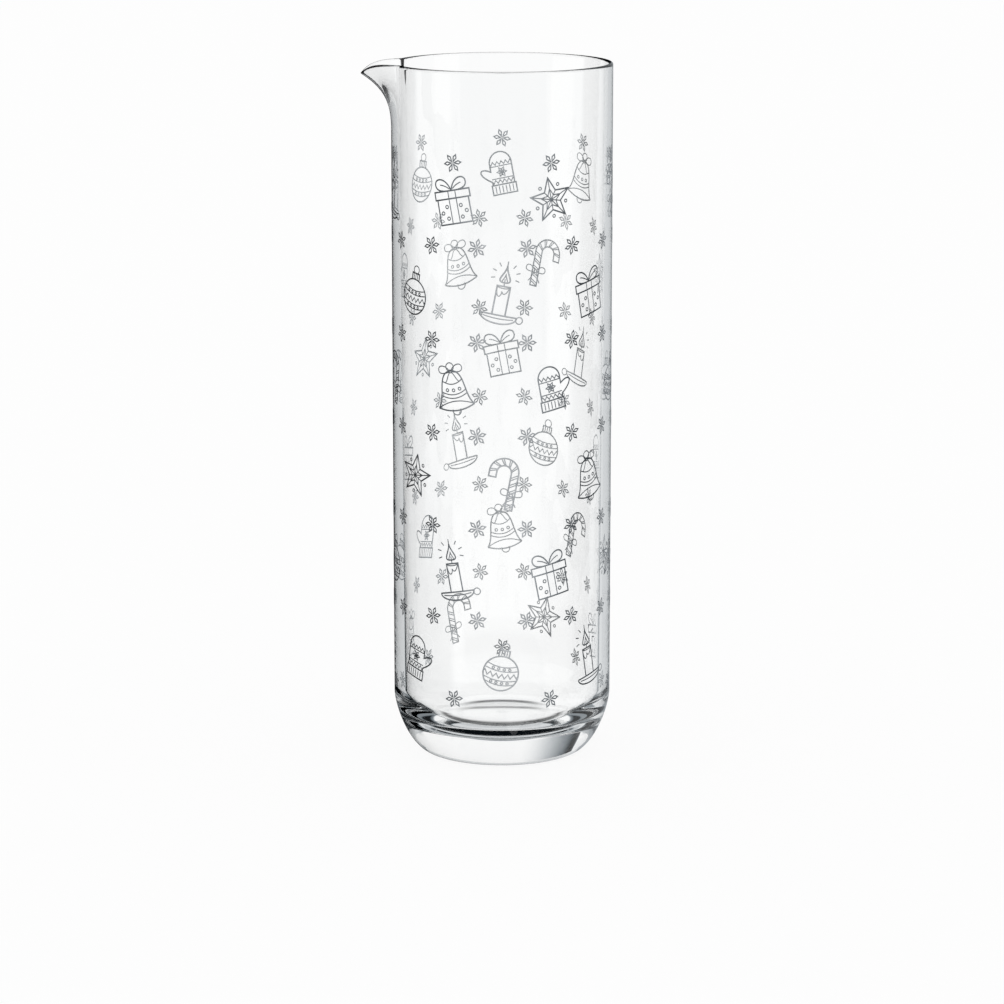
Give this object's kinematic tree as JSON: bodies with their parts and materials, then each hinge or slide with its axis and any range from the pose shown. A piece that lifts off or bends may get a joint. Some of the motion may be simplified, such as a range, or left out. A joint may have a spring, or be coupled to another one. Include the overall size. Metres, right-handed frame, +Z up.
{
  "type": "glass juice carafe",
  "caption": "Straight-sided clear glass carafe with a heavy rounded base, a pulled pouring lip and a grey line print of winter motifs, for serving juice or water.",
  "frame": {"origin": "on the body's axis, on the flat underside that the carafe stands on", "axes": "+Z up along the body's axis; the pouring lip points to -X; the front of the print faces -Y"},
  "size_m": [0.0969, 0.0859, 0.27],
  "materials": {
    "clear_glass": "clear, fire-polished, colourless",
    "print_ink": "fired-on grey line print with a soft metallic sheen"
  },
  "bodies": {
    "root": {"glass_body": "clear_glass", "bauble_print_1": "print_ink", "bauble_print_2": "print_ink", "bauble_print_3": "print_ink", "bauble_print_4": "print_ink", "bauble_print_5": "print_ink", "bauble_print_6": "print_ink", "bell_print_1": "print_ink", "bell_print_2": "print_ink", "bell_print_3": "print_ink", "bell_print_4": "print_ink", "bell_print_5": "print_ink", "bell_print_6": "print_ink", "candle_print_1": "print_ink", "candle_print_2": "print_ink", "candle_print_3": "print_ink", "candle_print_4": "print_ink", "candle_print_5": "print_ink", "candle_print_6": "print_ink", "cane_print_1": "print_ink", "cane_print_2": "print_ink", "cane_print_3": "print_ink", "cane_print_4": "print_ink", "cane_print_5": "print_ink", "cane_print_6": "print_ink", "crystal_print_1": "print_ink", "crystal_print_10": "print_ink", "crystal_print_11": "print_ink", "crystal_print_12": "print_ink", "crystal_print_13": "print_ink", "crystal_print_14": "print_ink", "crystal_print_2": "print_ink", "crystal_print_3": "print_ink", "crystal_print_4": "print_ink", "crystal_print_5": "print_ink", "crystal_print_6": "print_ink", "crystal_print_7": "print_ink", "crystal_print_8": "print_ink", "crystal_print_9": "print_ink", "gift_print_1": "print_ink", "gift_print_2": "print_ink", "gift_print_3": "print_ink", "gift_print_4": "print_ink", "gift_print_5": "print_ink", "gift_print_6": "print_ink", "mitten_print_1": "print_ink", "mitten_print_2": "print_ink", "mitten_print_3": "print_ink", "mitten_print_4": "print_ink", "mitten_print_5": "print_ink", "mitten_print_6": "print_ink", "star_print_1": "print_ink", "star_print_2": "print_ink", "star_print_3": "print_ink", "star_print_4": "print_ink", "star_print_5": "print_ink", "star_print_6": "print_ink"}
  },
  "joints": []
}
